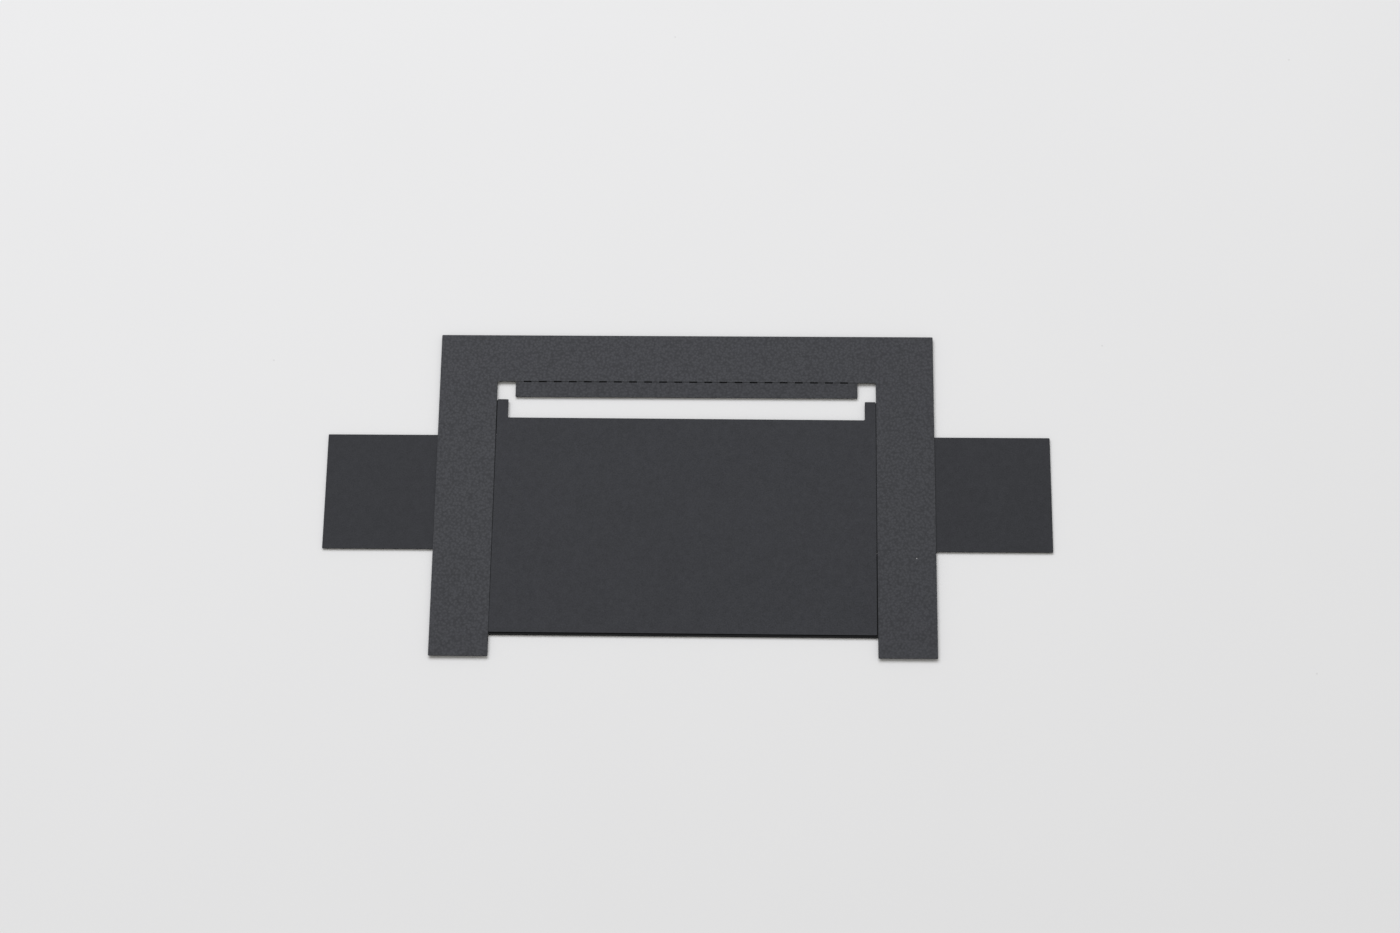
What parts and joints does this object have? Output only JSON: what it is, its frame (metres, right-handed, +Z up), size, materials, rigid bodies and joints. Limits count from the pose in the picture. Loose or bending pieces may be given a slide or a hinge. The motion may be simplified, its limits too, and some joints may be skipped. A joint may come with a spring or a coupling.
{
  "type": "negative carrier",
  "caption": "Flat laminated card masking carrier for film negatives: U frame, perforated fold-up flap and a sliding mask with a finger tab on each side.",
  "frame": {"origin": "on the bench, under the centre of the object's outline, so the frame's own centre line is 0.6 mm to the left of it", "axes": "+X runs along the two finger tabs, to the right as the carrier is read; +Y points from the open ends of the legs to the bar; +Z is up, out of the face with the perforated flap"},
  "size_m": [0.159, 0.0752, 0.0009],
  "materials": {
    "grained_card": "matte black card with a fine embossed grain",
    "smooth_card": "smooth matte black card",
    "core_card": "dyed-through black card, cut edges fibrous",
    "adhesive_film": "double-sided adhesive film"
  },
  "bodies": {
    "frame": {"top_frame": "grained_card", "bottom_frame": "grained_card", "bar_spacer": "core_card", "bar_spacer_lower_adhesive": "adhesive_film", "bar_spacer_upper_adhesive": "adhesive_film", "left_upper_spacer": "core_card", "left_upper_spacer_lower_adhesive": "adhesive_film", "left_upper_spacer_upper_adhesive": "adhesive_film", "right_upper_spacer": "core_card", "right_upper_spacer_lower_adhesive": "adhesive_film", "right_upper_spacer_upper_adhesive": "adhesive_film", "left_lower_spacer": "core_card", "left_lower_spacer_lower_adhesive": "adhesive_film", "left_lower_spacer_upper_adhesive": "adhesive_film", "right_lower_spacer": "core_card", "right_lower_spacer_lower_adhesive": "adhesive_film", "right_lower_spacer_upper_adhesive": "adhesive_film"},
    "flap": {"fold_flap": "grained_card"},
    "mask": {"front_panel": "smooth_card", "backing_panel": "smooth_card", "tab_strip": "smooth_card", "upper_filler": "core_card", "lower_filler": "core_card", "upper_filler_front_adhesive": "adhesive_film", "upper_filler_back_adhesive": "adhesive_film", "tab_strip_front_adhesive": "adhesive_film", "tab_strip_back_adhesive": "adhesive_film", "lower_filler_front_adhesive": "adhesive_film", "lower_filler_back_adhesive": "adhesive_film"}
  },
  "joints": [
    {"name": "flap_fold", "type": "hinge", "parent": "frame", "child": "flap", "pos_m": [-0.0006, 0.02641, 0.00085], "axis": [-1, 0, 0], "range_deg": [0, 175]},
    {"name": "mask_slide", "type": "slide", "parent": "frame", "child": "mask", "axis": [0, 1, 0], "range_m": [-0.01882, 0.00412]}
  ]
}
